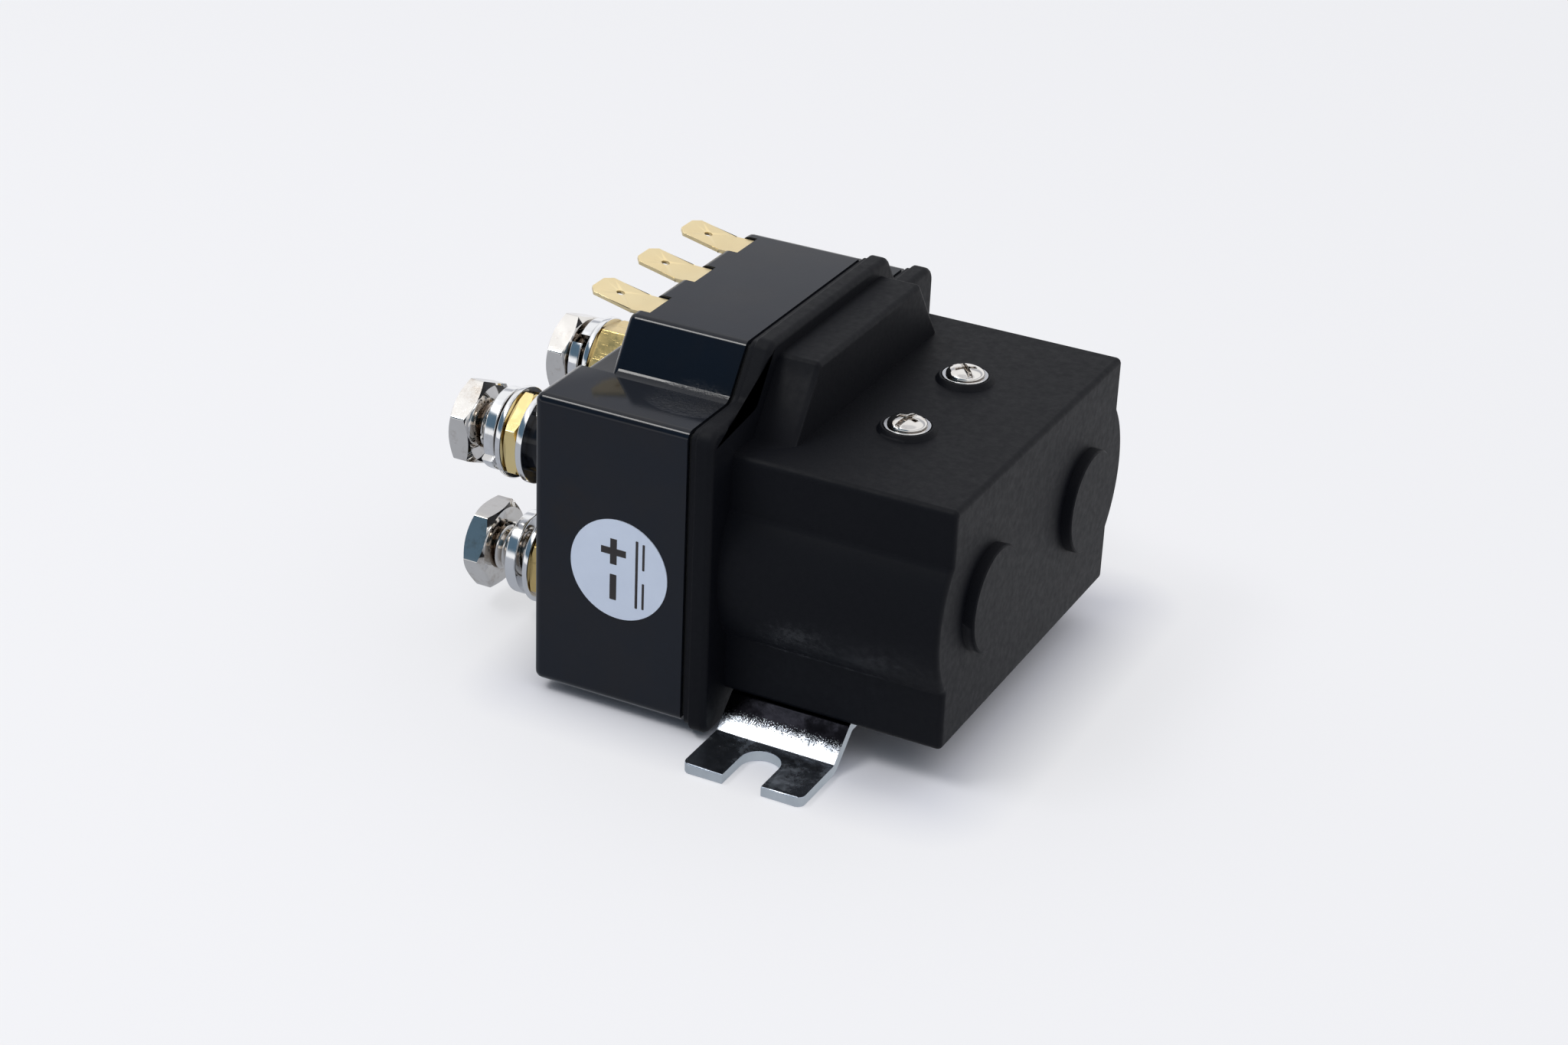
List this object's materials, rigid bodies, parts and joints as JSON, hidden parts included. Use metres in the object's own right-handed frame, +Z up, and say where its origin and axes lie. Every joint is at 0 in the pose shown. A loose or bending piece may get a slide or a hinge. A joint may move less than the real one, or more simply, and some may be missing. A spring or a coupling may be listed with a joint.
{
  "type": "winch relay",
  "caption": "Reversing relay for a winch motor: moulded cover with bolted brass terminals and blade tabs, coil housing with barrels behind it, steel bracket with open-slotted feet.",
  "frame": {"origin": "midway between the two foot slots, on the surface that the feet stand on", "axes": "+Z up, the terminals point to -X, the rear of the coil housing to +X"},
  "size_m": [0.0942, 0.0938, 0.0597],
  "materials": {
    "gloss_black": "moulded, polished",
    "satin_black": "moulded, fine grain",
    "seal_rubber": "plain",
    "zinc_steel": "zinc plated, bright",
    "nickel_steel": "nickel plated, slightly stained",
    "bright_washer": "nickel plated",
    "polished_brass": "polished",
    "brushed_brass": "turned, lightly scratched",
    "tab_brass": "matte",
    "contact_copper": "bare copper",
    "contact_silver": "silver contact",
    "winding_copper": "enamelled copper wire",
    "red_insulation": "plain",
    "black_insulation": "plain",
    "bobbin_plastic": "plain",
    "plain_steel": "turned and stamped steel",
    "spring_steel": "drawn wire",
    "label_paper": "printed film"
  },
  "bodies": {
    "relay": {"terminal_cover": "gloss_black", "coil_housing": "satin_black", "cover_gasket": "seal_rubber", "mounting_bracket": "zinc_steel", "bracket_screws": "nickel_steel", "top_screws": "nickel_steel", "terminal_bolts": "nickel_steel", "top_screw_washers": "bright_washer", "flat_washers": "bright_washer", "post_washer": "bright_washer", "lock_washers": "bright_washer", "post_nut": "polished_brass", "terminal_post_near_upper": "brushed_brass", "terminal_post_near_lower": "brushed_brass", "terminal_post_far_upper": "brushed_brass", "terminal_post_far_lower": "brushed_brass", "tab_near": "tab_brass", "tab_middle": "tab_brass", "tab_far": "tab_brass", "fixed_contact_plates": "contact_copper", "fixed_contact_tips": "contact_silver", "winding_near": "winding_copper", "winding_far": "winding_copper", "coil_lead_near": "red_insulation", "coil_lead_far": "red_insulation", "common_lead": "black_insulation", "bobbin_near": "bobbin_plastic", "bobbin_far": "bobbin_plastic", "coil_can_near": "plain_steel", "coil_can_far": "plain_steel", "fixed_core_near": "plain_steel", "fixed_core_far": "plain_steel", "yoke_plate": "plain_steel", "return_spring_near": "spring_steel", "return_spring_far": "spring_steel", "rating_label": "label_paper"},
    "near_plunger": {"plunger_near": "plain_steel", "push_rod_near": "brushed_brass", "contact_bridge_near": "contact_copper", "moving_tips_near": "contact_silver", "contact_spring_near": "spring_steel", "rod_clip_near": "spring_steel"},
    "far_plunger": {"plunger_far": "plain_steel", "push_rod_far": "brushed_brass", "contact_bridge_far": "contact_copper", "moving_tips_far": "contact_silver", "contact_spring_far": "spring_steel", "rod_clip_far": "spring_steel"}
  },
  "joints": [
    {"name": "near_plunger_slide", "type": "slide", "parent": "relay", "child": "near_plunger", "axis": [-1, 0, 0], "range_m": [0, 0.0025], "stiffness_N_per_m": 1000, "springref_m": -0.003, "deforming": ["return_spring_near"]},
    {"name": "far_plunger_slide", "type": "slide", "parent": "relay", "child": "far_plunger", "axis": [-1, 0, 0], "range_m": [0, 0.0025], "stiffness_N_per_m": 1000, "springref_m": -0.003, "deforming": ["return_spring_far"]}
  ]
}
